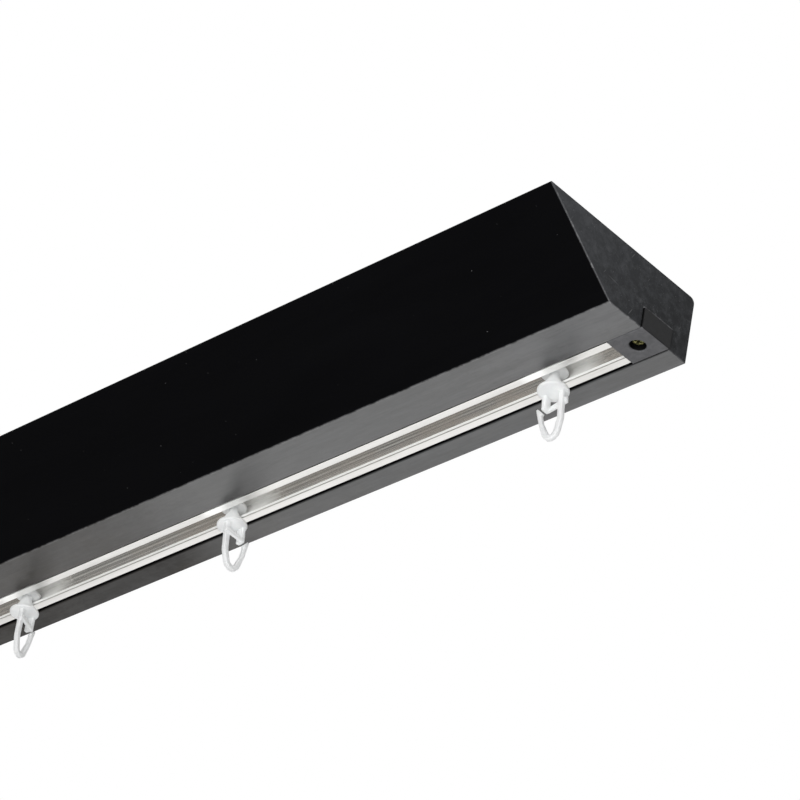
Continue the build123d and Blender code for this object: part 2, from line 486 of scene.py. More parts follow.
        # Painted light: paler towards the right end.
        tint = s.mix(0.6 * x.ramp(0.24, 0.38), tint, self.underside_painted_light)
        under = s.multiply(tint, dark)
        # Painted shade: darker towards the left end.
        return s.mix(0.7 * (1 - fade), under, self.underside_painted_shade)

    def _dust(self, s: Shader, place: Socket) -> Value:
        """Specks of dust, gathered in patches.

        Args:
            s: The paint's shader.
            place: The point on the object.

        Returns:
            A mask of the specks.
        """
        haze = s.noise(place, 9.0, 3.0, 0.6).ramp(0.40, 0.62)
        specks = s.specks(place, 150.0, 0.050, 0.3).most(0.5 * s.specks(place, 340.0, 0.09, 0.2))
        return specks * (0.2 + 0.8 * haze)

    def _end_marks(self, s: Shader, place: Socket, y: Value, z: Value, rub: Value) -> Value:
        """Chalky scratches and specks on the sawn ends, most of them round the cap's seam.

        Args:
            s: The paint's shader.
            place: The point on the object.
            y: The place across the track.
            z: The height.
            rub: Noise that breaks the marks up.

        Returns:
            A mask of the marks.
        """
        middle = (self.cap_low.y + self.cap_high.y) / 2
        half = (self.cap_high.y - self.cap_low.y) / 2
        aside = abs(y - middle) - half
        above = z - self.cap_high.z
        chip = abs(above - 0.0003).ramp(0.0007, 0.0002) * aside.ramp(0.0008, 0.0)
        round_cap = aside.ramp(0.008, -0.002) * abs(above).ramp(0.006, 0.001)
        long_marks = s.marks(y - 0.12 * z, z + 0.12 * y, 0.022, 0.0009, 0.05)
        short_marks = s.marks(z + 0.5 * y, y - 0.5 * z, 0.006, 0.0006, 0.04)
        fine = s.noise(place, 900.0, 3.0, 0.7).ramp(0.60, 0.80)
        specks = s.specks(place, 360.0, 0.13, 0.5).most(s.specks(place, 800.0, 0.2, 0.4))
        chipped = chip * rub.ramp(0.40, 0.56)
        scuffed = round_cap * (0.8 * specks).most(0.5 * rub.ramp(0.5, 0.7))
        spread = (0.5 * long_marks).most(0.4 * short_marks).most(0.3 * fine).most(0.4 * specks)
        return chipped.most(scuffed).most(spread)

    def _edge_wear_and_highlight(self, x: Value, y: Value, z: Value, noise: Value) -> Value:
        """A thin broken light line along the arrises and round the ends: paint thinned by wear,
        and a painted highlight.

        Args:
            x: The place along the track.
            y: The place across it.
            z: The height.
            noise: Noise that breaks the line.

        Returns:
            A mask of the worn paint.
        """
        front_arris = self.high.y - self.underside_width
        height = abs(z - self.low.z)
        arrises = (front_arris, self.high.y, self.cap_low.y)
        nearest = reduce(Value.least, [abs(y - arris).most(height) for arris in arrises])
        line = nearest.ramp(0.0006, 0.0001)
        end_edge = (abs(x) - self.high.x).ramp(-0.0007, -0.0002)
        slant = (self.high.z - self.low.z) / (front_arris - self.low.y)
        slope_edge = abs((y - front_arris) * slant + (z - self.low.z))
        rim = end_edge * slope_edge.least(height).ramp(0.0006, 0.0001)
        worn_and_lit_line = 0.30 * line * noise.ramp(0.36, 0.62)
        return worn_and_lit_line.most((0.18 + 0.5 * noise.ramp(0.50, 0.66)) * rim)


@dataclass(frozen=True)
class MillAluminium:
    """Extruded aluminium with die lines along its length, and painted light and shade in its
    channel.

    The rail's box places the channel and lips along the slot, paler by the gliders as painted
    light.
    """

    low: Vector
    high: Vector
    glider_places: tuple[float, ...]
    bright: Colour = (0.64, 0.635, 0.62)
    dull: Colour = (0.50, 0.49, 0.47)
    stain: Colour = (0.38, 0.36, 0.33)
    # The channel's colours are painted light and shade: paler than the outside, with brown-grey
    # patches as painted shade.
    channel_painted_light: Colour = (1.0, 0.99, 0.96)
    channel_painted_dark: Colour = (0.60, 0.59, 0.57)
    channel_painted_shade: Colour = (0.80, 0.755, 0.70)
    glider_painted_light: Colour = (1.0, 1.0, 0.98)
    lip_line: Colour = (0.60, 0.55, 0.50)
    lip_painted_highlight: Colour = (0.95, 0.95, 0.93)
    lip_height: float = 0.0019
    lip_line_height: float = 0.0005
    slot_width: float = 0.0081

    def material(self) -> Material:
        """Builds the metal.

        Returns:
            The material.
        """
        s = Shader.named("mill_aluminium")
        place = s.place()
        x, y, z = s.split(place)
        fine = s.noise(place, 5200.0, 3.0, 0.6, along=0.004)
        die = s.noise(place, 1500.0, 2.0, 0.5, along=0.0015)
        ridge = s.noise(place, 1500.0, 3.0, 0.7, along=0.0012)
        blotches = s.noise(place, 260.0, 4.0, 0.6, 0.5, along=0.12)
        above = z - self.low.z
        inside = above.ramp(self.lip_height * 0.92, self.lip_height * 1.02)
        middle = (self.low.y + self.high.y) / 2
        rear_edge = middle + self.slot_width / 2
        at_edge = abs(y - rear_edge).ramp(0.0004, 0.0001) * (1 - inside)
        lip_wall = at_edge * above.ramp(self.lip_line_height * 1.1, self.lip_line_height * 1.5)
        line = at_edge * abs(above - self.lip_line_height).ramp(0.00026, 0.00014)

        colour = s.mix(0.55 * fine + 0.45 * die, self.dull, self.bright)
        colour = s.mix(0.30 * blotches.ramp(0.55, 0.8), colour, self.stain)
        level = (0.60 * ridge.ramp(0.38, 0.62) + 0.2 * blotches + 0.2 * fine).ramp(0.2, 0.8)
        channel = s.mix(level, self.channel_painted_dark, self.channel_painted_light)
        # Painted shade: brown-grey patches in the channel.
        brown = s.noise(place, 90.0, 3.0, 0.6, along=0.3)
        channel = s.mix(0.7 * brown.ramp(0.4, 0.65), channel, self.channel_painted_shade)
        # Painted light: the channel is paler just to the right of each glider's rest place.
        glider_light = self._painted_glider_light(x + 0.012 * blotches)
        channel = s.mix(0.9 * glider_light, channel, self.glider_painted_light)
        colour = s.mix(inside, colour, channel)
        # Painted reflection: the front lip is paler by each glider's rest place, as if it
        # mirrored the glider.
        near = self._near_gliders(x) * (y - middle).ramp(0.001, -0.001)
        colour = s.mix(0.85 * near * (1 - inside), colour, self.glider_painted_light)
        # Painted highlight: the rear lip's wall is a pale band without metal.
        colour = s.mix(lip_wall, colour, self.lip_painted_highlight)
        colour = s.mix(0.4 * line, colour, self.lip_line)
        nicks = s.marks(x, y + z, 0.014, 0.00010, 0.03)
        roughness = (0.26 + 0.16 * die + 0.10 * blotches + 0.1 * nicks) * (1 - 0.55 * inside)
        normal = s.bump(0.6 * die + 0.4 * fine, 0.00003, 0.8)
        normal = s.bump(1 - nicks, 0.00002, 0.3, normal)
        # Less metal where light and highlight are painted, so those places take plain diffuse
        # light.
        metal = (1 - 0.2 * inside - 0.7 * inside * glider_light) * (1 - lip_wall) * (1 - 0.6 * near)
        return s.end(s.principled(colour, roughness, normal, Metallic=metal))

    def _near_gliders(self, x: Value) -> Value:
        """Where the track is close to a glider's rest place."""
        spots = [abs(x - place - 0.001).ramp(0.015, 0.007) for place in self.glider_places]
        return reduce(Value.most, spots)

    def _painted_glider_light(self, x: Value) -> Value:
        """Where the channel is paler to the right of each glider, as painted light.

        Args:
            x: The place along the track.

        Returns:
            A mask of the painted light.
        """
        offsets = [x - place for place in self.glider_places]
        spots = [offset.ramp(-0.006, 0.002) * offset.ramp(0.030, 0.016) for offset in offsets]
        return reduce(Value.most, spots)


@dataclass(frozen=True)
class CapPlastic:
    """Fine matt black moulding of the end caps, handled and scuffed.

    The right cap's box places the underside, and the outer end and bore's inside in painted
    shade.
    """

    low: Vector
    high: Vector
    base: Colour = (0.085, 0.085, 0.089)
    pale: Colour = (0.12, 0.12, 0.126)
    scuffed: Colour = (0.20, 0.20, 0.21)
    end_painted_shade: float = 0.15
    bore_painted_shade: float = 0.03

    def material(self) -> Material:
        """Builds the plastic.

        Returns:
            The material.
        """
        s = Shader.named("cap_plastic")
        place = s.place()
        x, y, z = s.split(place)
        at_end = (abs(x) - self.high.x).ramp(-0.0004, -0.0001)
        in_bore = (z - self.low.z).ramp(0.0002, 0.0007) * (1 - at_end)
        grain = s.noise(place, 3400.0, 2.0, 0.6)
        cloud = s.noise(place, 320.0, 4.0, 0.6, 0.8)
        scuff = s.marks(y + 0.2 * x, x + z, 0.008, 0.00014, 0.03)
        scuff = scuff.most(0.4 * s.specks(place, 520.0, 0.14, 0.5))
        rim = (z - self.high.z).ramp(-0.0006, -0.0002) * at_end * cloud.ramp(0.35, 0.6)
        colour = s.mix(cloud.ramp(0.3, 0.75), self.base, self.pale)
        colour = s.mix(0.55 * scuff + 0.12 * grain, colour, self.scuffed)
        # Painted shade: the outer end and the bore's inside are darkened towards black.
        share = (1 - (1 - self.end_painted_shade) * at_end) * (1 - (1 - self.bore_painted_shade) * in_bore)
        colour = s.mix(share, (0.0, 0.0, 0.0), colour)
        colour = s.mix(0.5 * rim, colour, self.scuffed)
        roughness = 0.42 + 0.14 * grain + 0.08 * cloud
        normal = s.bump(grain, 0.00005, 0.7)
        return s.end(s.principled(colour, roughness, normal, Specular_IOR_Level=0.12))


class Plating(Enum):
    """Zinc platings of the screws, as names with a light and a deep tint."""

    # The yellow tints are darkened as painted shade for the dim bore round the cap screws.
    YELLOW = ("yellow_zinc", (0.34, 0.31, 0.12), (0.07, 0.08, 0.03))
    BRIGHT = ("bright_zinc", (0.78, 0.79, 0.81), (0.55, 0.56, 0.60))


@dataclass(frozen=True)
class ZincPlate:
    """Plated steel whose passivation shifts a little in tint over the head, yellow darker as
    painted shade.
    """

    plating: Plating
    metal: float = 0.8

    def material(self) -> Material:
        """Builds the plating.

        Returns:
            The material.
        """
        name, light, deep = self.plating.value
        s = Shader.named(name)
        place = s.place()
        tint = s.noise(place, 420.0, 3.0, 0.5, 1.2)
        pits = s.noise(place, 5200.0, 2.0, 0.6)
        colour = s.mix(tint.ramp(0.32, 0.7), light, deep)
        roughness = 0.22 + 0.14 * tint + 0.1 * pits
        normal = s.bump(pits, 0.00002, 0.5)
        return s.end(s.principled(colour, roughness, normal, Metallic=self.metal))


@dataclass(frozen=True)
class MilkyPlastic:
    """Natural milky plastic of the gliders, which lets some light through."""

    clear: Colour = (0.85, 0.875, 0.88)
    thick: Colour = (0.92, 0.935, 0.93)
    grime: Colour = (0.60, 0.60, 0.57)
    parting_width: float = 0.00009

    def material(self) -> Material:
        """Builds the plastic, on the glider's own coordinates.

        Returns:
            The material.
        """
        s = Shader.named("glider_plastic")
        form = s.attribute(GLIDER_FORM)
        side, across, height = s.split(form)
        flow = s.noise(s.stretched(form, (1.0, 1.0, 0.4)), 190.0, 3.0, 0.5, 0.8)
        fine = s.noise(form, 2400.0, 2.0, 0.6)
        grime = s.noise(form, 520.0, 4.0, 0.6).ramp(0.62, 0.85)
        wear = s.marks(height, side + across, 0.005, 0.00012, 0.04)
        colour = s.mix(flow.ramp(0.25, 0.75), self.clear, self.thick)
        colour = s.mix(0.30 * grime + 0.15 * wear, colour, self.grime)
        roughness = 0.30 + 0.12 * flow + 0.14 * wear + 0.05 * fine
        seam = abs(across + Glider.hook_side * MM).ramp(self.parting_width, 0.0)
        below_disc = height.ramp(-0.0006, -0.0008)
        relief = 0.5 * seam * below_disc + 0.12 * fine + 0.25 * flow
        normal = s.bump(relief, 0.00010, 0.7)
        plastic = s.principled(
            colour,
            roughness,
            normal,
            IOR=1.52,
            Specular_IOR_Level=0.4,
            Subsurface_Weight=0.9,
            Subsurface_Radius=(1.0, 1.0, 1.0),
            Subsurface_Scale=0.006,
        )
        return s.end(plastic)


# Modelling helpers


def forget_selection() -> None:
    """Leaves edit mode and deselects every object."""
    if bpy.context.object and bpy.context.object.mode != "OBJECT":
        bpy.ops.object.mode_set(mode="OBJECT")
    bpy.ops.object.select_all(action="DESELECT")


def select_only(*objects: Object) -> None:
    """Selects these objects and no others.

    Args:
        *objects: The objects, with the one to be active first.
    """
    forget_selection()
    for piece in objects:
        piece.select_set(True)
    bpy.context.view_layer.objects.active = objects[0]


def pick(piece: Object, wanted: Callable[[object], bool], kind: str = "FACE") -> None:
    """Selects, in edit mode, the faces, edges or corners of a piece that pass a test.

    Args:
        piece: The object in edit mode.
        wanted: The test on one face, edge or corner.
        kind: FACE, EDGE or VERT.
    """
    bpy.ops.mesh.select_mode(type=kind)
    bpy.ops.mesh.select_all(action="DESELECT")
    mesh = bmesh.from_edit_mesh(piece.data)
    items = {"FACE": mesh.faces, "EDGE": mesh.edges, "VERT": mesh.verts}[kind]
    for item in [item for item in items if wanted(item)]:
        item.select_set(True)
    mesh.select_flush(True)
    bmesh.update_edit_mesh(piece.data)


def pick_top(piece: Object) -> None:
    """Selects, in edit mode, the faces of a piece that look straight up."""
    pick(piece, lambda face: face.normal.z > STRAIGHT)


def draw_out(move: Vector) -> None:
    """Extrudes the selected face along a move."""
    bpy.ops.mesh.extrude_region_move(TRANSFORM_OT_translate={"value": move})


def edit(piece: Object) -> None:
    """Takes a piece alone into edit mode."""
    select_only(piece)
    bpy.ops.object.mode_set(mode="EDIT")


def leave_edit() -> None:
    """Goes back to object mode."""
    bpy.ops.object.mode_set(mode="OBJECT")


def apply_modifier(piece: Object, kind: str, **settings: object) -> None:
    """Adds a modifier, sets it and applies it.

    Args:
        piece: The mesh object.
        kind: The modifier's type.
        **settings: Its properties.
    """
    select_only(piece)
    modifier = piece.modifiers.new(kind.lower(), kind)
    for key, value in settings.items():
        setattr(modifier, key, value)
    bpy.ops.object.modifier_apply(modifier=modifier.name)


def merge_and_orient(piece: Object) -> None:
    """Merges doubled points and turns the faces outwards.

    Args:
        piece: The mesh object.
    """
    edit(piece)
    bpy.ops.mesh.select_all(action="SELECT")
    bpy.ops.mesh.remove_doubles(threshold=DOUBLED)
    bpy.ops.mesh.normals_make_consistent(inside=False)
    leave_edit()


def melt(piece: Object, voxel: float, passes: int) -> None:
    """Melts overlapping forms into one skin with soft fillets.

    Args:
        piece: The joined forms.
        voxel: The size of the new mesh's cells.
        passes: How many times the skin is smoothed.
    """
    merge_and_orient(piece)
    apply_modifier(piece, "REMESH", mode="VOXEL", voxel_size=voxel)
    apply_modifier(piece, "SMOOTH", factor=0.5, iterations=passes)


def set_copy(form: Object, name: str, move: Matrix, material: Material) -> Object:
    """Sets a copy of a form in the scene, with its own mesh.

    Args:
        form: The form that is copied.
        name: The copy's name.
        move: The move from the form's own millimetres to its place in metres.
        material: The copy's finish.

    Returns:
        The copy, with its place in its mesh.
    """
    mesh = form.data.copy()
    mesh.transform(move)
    mesh.materials.clear()
    mesh.materials.append(material)
    piece = bpy.data.objects.new(name, mesh)
    bpy.context.scene.collection.objects.link(piece)
    return piece


def block(name: str, low: Point, high: Point, bevel: float = 0.0) -> Object:
    """A box between two corners, with its edges bevelled.

    Args:
        name: The object's name.
        low: Its lowest corner.
        high: Its highest corner.
        bevel: Width of the bevel, or 0 for none.

    Returns:
        The object.
    """
    forget_selection()
    middle = [(a + b) / 2 for a, b in zip(low, high)]
    bpy.ops.mesh.primitive_cube_add(size=1.0, location=middle)
    piece = bpy.context.object
    piece.name = name
    piece.scale = [b - a for a, b in zip(low, high)]
    bpy.ops.object.transform_apply(location=True, rotation=True, scale=True)
    if bevel:
        edit(piece)
        bpy.ops.mesh.select_all(action="SELECT")
        bpy.ops.mesh.bevel(offset=bevel, segments=2, affect="EDGES")
        leave_edit()
    return piece


def drum(name: str, radius: float, low: float, high: float, sides: int = 64) -> Object:
    """A short cylinder about the Z axis.

    Args:
        name: The object's name.
        radius: Its radius.
        low: The height of its lower face.
        high: The height of its upper face.
        sides: The number of its sides.

    Returns:
        The object.
    """
    forget_selection()
    bpy.ops.mesh.primitive_cylinder_add(
        vertices=sides, radius=radius, depth=high - low, location=(0, 0, (low + high) / 2)
    )
    piece = bpy.context.object
    piece.name = name
    bpy.ops.object.transform_apply(location=True, rotation=True, scale=True)
    return piece


def join(first: Object, *others: Object) -> Object:
    """Joins objects into the first one.

    Args:
        first: The object that takes up the others.
        *others: The others.

    Returns:
        The first object.
    """
    select_only(first, *others)
    bpy.ops.object.join()
    return first


def raise_rings(piece: Object, steps: list[tuple[float, float]]) -> None:
    """Extrudes the top face of a turned piece through rings of new radius and height.

    The piece is in edit mode with its top face selected. A first step at the height of the
    face is an inset.

    Args:
        piece: The turned piece.
        steps: Radius and height of each ring.
    """
    mesh = bmesh.from_edit_mesh(piece.data)
    ring = [v for v in mesh.verts if v.select]
    radius = max(math.hypot(v.co.x, v.co.y) for v in ring)
    height = ring[0].co.z
    for new_radius, new_height in steps:
        draw_out(Vector((0, 0, new_height - height)))
        share = new_radius / radius
        bpy.ops.transform.resize(value=(share, share, 1.0), center_override=(0, 0, 0))
        radius, height = new_radius, new_height


# Gliders


@dataclass
class Glider:
    """One moulded glider in its own frame, with its hook's tip towards +X, in millimetres.

    The middle of the lower disc is at the origin. Offsets run sideways from the neck's axis
    and depths run down from the disc's middle.
    """

    head_radius: float = 5.8
    head_thickness: float = 1.2
    head_under: float = 8.3
    neck_radius: float = 1.8
    neck_foot_radius: float = 5.2
    neck_foot_height: float = 6.8
    flare_rings: int = 6
    flare_power: float = 1.15
    head_fillet: float = 0.3
    disc_radius: float = 6.5
    disc_thickness: float = 1.4
    rim_round: float = 0.45
    hook_bar: float = 2.3
    hook_depth: float = 2.0
    hook_side: float = 1.2
    arm_offset: float = 3.5
    arm_drop: float = 14.5
    arm_bend_radius: float = 9.0
    arm_bend_steps: int = 6
    point_offset: float = 0.2
    point_depth: float = 28.2
    point_radius: float = 2.9
    point_steps: int = 14
    elbow_offset: float = 5.9
    elbow_depth: float = 13.5
    leg_bar: float = 1.7
    leg_foot_share: float = 0.62
    tip_offset: float = 7.7
    tip_depth: float = 5.4
    tip_share: float = 0.5
    barb_length: float = 3.0
    barb_height: float = 0.7
    tongue_offset: float = 4.3
    tongue_thickness: float = 2.0
    tongue_width: float = 3.7
    tongue_depth: float = 7.5
    tongue_bevel: float = 0.35
    stay_foot_depth: float = 7.5
    stay_foot_height: float = 1.8
    stay_head_depth: float = 6.3
    stay_head_height: float = 2.7
    stay_thickness: float = 1.4
    stay_ear: float = 0.9
    voxel: float = 0.16
    smoothing: int = 8

    def turned_body(self) -> Object:
        """Draws up the lower disc, the flared neck and the head as one turned piece.

        Returns:
            The turned piece.
        """
        half = self.disc_thickness / 2
        body = drum("glider_turned", self.disc_radius, -half, half)
        edit(body)
        pick(body, lambda e: abs(e.verts[0].co.z - e.verts[1].co.z) < CLOSE, "EDGE")
        bpy.ops.mesh.bevel(offset=self.rim_round, segments=3, affect="EDGES")
        pick_top(body)
        top = self.head_under + self.head_thickness
        under = self.head_under
        fall = self.neck_foot_radius - self.neck_radius
        flare = [
            (
                self.neck_radius + fall * (1 - i / self.flare_rings) ** self.flare_power,
                half + self.neck_foot_height * i / self.flare_rings,
            )
            for i in range(self.flare_rings + 1)
        ]
        head = [
            (self.neck_radius, under - self.head_fillet),
            (self.neck_radius + self.head_fillet, under),
            (self.head_radius - self.rim_round, under),
            (self.head_radius, under + self.rim_round),
            (self.head_radius, top - self.rim_round),
            (self.head_radius - self.rim_round, top),
        ]
        raise_rings(body, flare + head)
        leave_edit()
        return body

    @staticmethod
    def corner_arc(
        before: Vector, corner: Vector, after: Vector, radius: float
    ) -> tuple[Vector, Vector, Vector, float]:
        """The arc that rounds a corner of the hook's line.

        Args:
            before: The point before the corner, in the hook's plane.
            corner: The corner.
            after: The point after it.
            radius: The radius of the arc.

        Returns:
            Where the arc starts, where it ends, its centre and its angle.
        """
        into = (corner - before).normalized()
        out = (after - corner).normalized()
        turn = into.angle(out)
        reach = radius * math.tan(turn / 2)
        inward = (out - into).normalized()
        centre = corner + inward * (radius / math.cos(turn / 2))
        return corner - into * reach, corner + out * reach, centre, turn

    def _points(self) -> tuple[Vector, Vector, Vector, Vector, Vector]:
        """The corners of the hook's line.

        Returns:
            The arm's top, the shoulder, the point, the elbow and the tip.
        """
        level = -self.hook_side
        return (
            Vector((-self.arm_offset, level, 0)),
            Vector((-self.arm_offset, level, -self.arm_drop)),
            Vector((self.point_offset, level, -self.point_depth)),
            Vector((self.elbow_offset, level, -self.elbow_depth)),
            Vector((self.tip_offset, level, -self.tip_depth)),
        )

    def hook(self) -> Object:
        """Extrudes the hook's bar down the arm, round both bends and up its slim leg.

        Returns:
            The bar.
        """
        arm_top, shoulder, point, elbow, tip = self._points()
        forget_selection()
        bpy.ops.mesh.primitive_plane_add(size=1.0, location=arm_top)
        bar = bpy.context.object
        bar.name = "glider_hook"
        bar.scale = (self.hook_bar, self.hook_depth, 1.0)
        bpy.ops.object.transform_apply(location=True, rotation=True, scale=True)
        edit(bar)
        bpy.ops.mesh.select_all(action="SELECT")
        here = arm_top
        corners = (
            (arm_top, shoulder, point, self.arm_bend_radius, self.arm_bend_steps),
            (shoulder, point, elbow, self.point_radius, self.point_steps),
        )
        for before, corner, after, radius, steps in corners:
            start, end, centre, turn = self.corner_arc(before, corner, after, radius)
            draw_out(start - here)
            bpy.ops.mesh.spin(steps=steps, angle=turn, center=centre, axis=(0, 1, 0))
            here = end
        along = (tip - elbow).normalized()
        slim = self.leg_bar / self.hook_bar
        leg_foot = point + (elbow - point) * self.leg_foot_share
        barb_foot = tip - along * (self.barb_length + self.barb_height)
        draw_out(leg_foot - here)
        draw_out(elbow - leg_foot)
        bpy.ops.transform.resize(value=(slim, 1.0, slim), center_override=elbow)
        draw_out(barb_foot - elbow)
        draw_out(tip - barb_foot)
        outer_edge = tip + Vector((along.z, 0, -along.x)) * (self.leg_bar / 2)
        narrower = (self.tip_share, 1.0, self.tip_share)
        bpy.ops.transform.resize(value=narrower, center_override=outer_edge)
        leave_edit()
        return bar

    def barb(self) -> Object:
        """Shapes the ramp on the inner side of the tip, over which a loop snaps.

        Returns:
            The ramp.
        """
        *_, elbow, tip = self._points()
        along = (tip - elbow).normalized()
        inward = Vector((-along.z, 0, along.x))
        half = self.hook_depth / 2
        foot = -(self.barb_length + self.barb_height)
        side = self.leg_bar / 2
        ramp = block("glider_barb", (0.0, -half, foot), (side, half, 0.0))
        edit(ramp)
        pick(ramp, lambda v: v.co.x > side / 2 and v.co.z > foot / 2, "VERT")
        bpy.ops.transform.translate(value=(self.barb_height, 0, -self.barb_length))
        leave_edit()
        turn = Matrix((inward, (0, 1, 0), along)).transposed().to_4x4()
        ramp.data.transform(Matrix.Translation(tip) @ turn)
        return ramp

    def tongue(self) -> Object:
        """Shapes the tongue that closes the hook's mouth.

        Returns:
            The tongue.
        """
        half = self.tongue_thickness / 2
        side = self.hook_side + self.tongue_width / 2
        return block(
            "glider_tongue",
            (self.tongue_offset - half, -side, -self.tongue_depth),
            (self.tongue_offset + half, self.tongue_width - side, 0),
            bevel=self.tongue_bevel,
        )

    def stay(self) -> Object:
        """Shapes the wedge that ties the tongue's foot to the arm and ends in an ear beyond it.

        Returns:
            The wedge.
        """
        side = self.hook_side + self.tongue_width / 2
        reach = self.arm_offset + self.hook_bar / 2 + self.stay_ear
        middle = (self.tongue_offset - reach) / 2
        rough_height = 2.0
        top = rough_height - self.stay_foot_depth
        stay = block(
            "glider_stay",
            (-reach, -side, -self.stay_head_depth),
            (self.tongue_offset, self.stay_thickness - side, top),
        )
        level = (top - self.stay_head_depth) / 2
        foot = self.stay_head_depth - self.stay_foot_depth
        foot_top = self.stay_foot_height - rough_height
        head_top = self.stay_head_height - self.stay_head_depth - top
        moves = (
            (lambda v: v.co.x > middle and v.co.z < level, foot),
            (lambda v: v.co.x > middle and v.co.z > level, foot_top),
            (lambda v: v.co.x < middle and v.co.z > level, head_top),
        )
        edit(stay)
        for corners, rise in moves:
            pick(stay, corners, "VERT")
            bpy.ops.transform.translate(value=(0, 0, rise))
        leave_edit()
        return stay

    def build(self) -> Object:
        """Models the glider and melts its forms into one moulding with soft fillets.

        Returns:
            The finished glider in its own frame, in millimetres.
        """
        body = self.turned_body()
        glider = join(body, self.hook(), self.barb(), self.tongue(), self.stay())
        glider.name = "glider_form"
        melt(glider, self.voxel, self.smoothing)
        merge_and_orient(glider)
        select_only(glider)
        bpy.ops.object.shade_smooth()
        self.store_form(glider)
        return glider

    @staticmethod
    def store_form(glider: Object) -> None:
        """Keeps the glider's own coordinates, in metres, for its material.

        Args:
            glider: The finished form.
        """
        attribute = glider.data.attributes.new(GLIDER_FORM, "FLOAT_VECTOR", "POINT")
        for vertex in glider.data.vertices:
            attribute.data[vertex.index].vector = vertex.co * MM


@dataclass(frozen=True)
class Station:
    """Where one glider hangs: its share of the rail from the right, its turn and its swing."""

    share: float
    turn: float
    swing_back: float
    swing_right: float


@dataclass
class GliderRow:
    """The row of gliders, each a copy of one form, hung by its head in the rail."""

    form: Glider
    lip_height: float = 1.9
    head_lift: float = 0.2
    stations: tuple[Station, ...] = (
        Station(0.0445, 183.0, 2.0, 5.0),
        Station(0.2822, 88.0, 3.5, 5.0),
        Station(0.4541, 109.0, 1.5, 2.0),
        Station(0.5750, 90.0, 2.0, 3.0),
        Station(0.6880, 97.0, 1.0, 2.0),
        Station(0.7900, 84.0, 3.0, 3.0),
        Station(0.8770, 101.0, 2.0, 1.0),
        Station(0.9570, 92.0, 1.5, 3.0),
    )

    @staticmethod
    def _place(station: Station) -> float:
        """Where a station is along the track, in metres."""
        low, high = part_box("track_rail")
        return high.x - station.share * (high.x - low.x)

    def places(self) -> tuple[float, ...]:
        """The rest place of each glider along the track, in metres."""
        return tuple(self._place(station) for station in self.stations)

    def placing(self, station: Station) -> Matrix:
        """The move that hangs a glider in the rail.

        Args:
            station: Where it hangs and how it leans.

        Returns:
            The move from its own millimetres to metres.
        """
        low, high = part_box("track_rail")
        swing = math.radians(math.hypot(station.swing_back, station.swing_right))
        rim_dip = self.form.head_radius * math.sin(swing)
        rise = (self.lip_height + self.head_lift + rim_dip) * MM
        seat = Vector((self._place(station), (low.y + high.y) / 2, low.z + rise))
        swings = Matrix.Rotation(math.radians(station.swing_back), 4, "X")
        swings = swings @ Matrix.Rotation(math.radians(-station.swing_right), 4, "Y")
        swings = swings @ Matrix.Rotation(math.radians(station.turn), 4, "Z")
        hang = Matrix.Translation((0, 0, -self.form.head_under))
        return Matrix.Translation(seat) @ swings @ Matrix.Scale(MM, 4) @ hang

    def build(self, material: Material) -> None:
        """Models the form once and hangs a copy at each station.

        Args:
            material: The gliders' plastic.
        """
        form = self.form.build()
        for number, station in enumerate(self.stations, start=1):
            move = self.placing(station)
            glider = set_copy(form, f"moulded_glider_{number}", move, material)
            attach(glider, f"runner_{number}")
            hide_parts(f"glider_{number}")
        bpy.data.objects.remove(form)
        LOG.info("%d gliders hung in the rail", len(self.stations))


# Screws


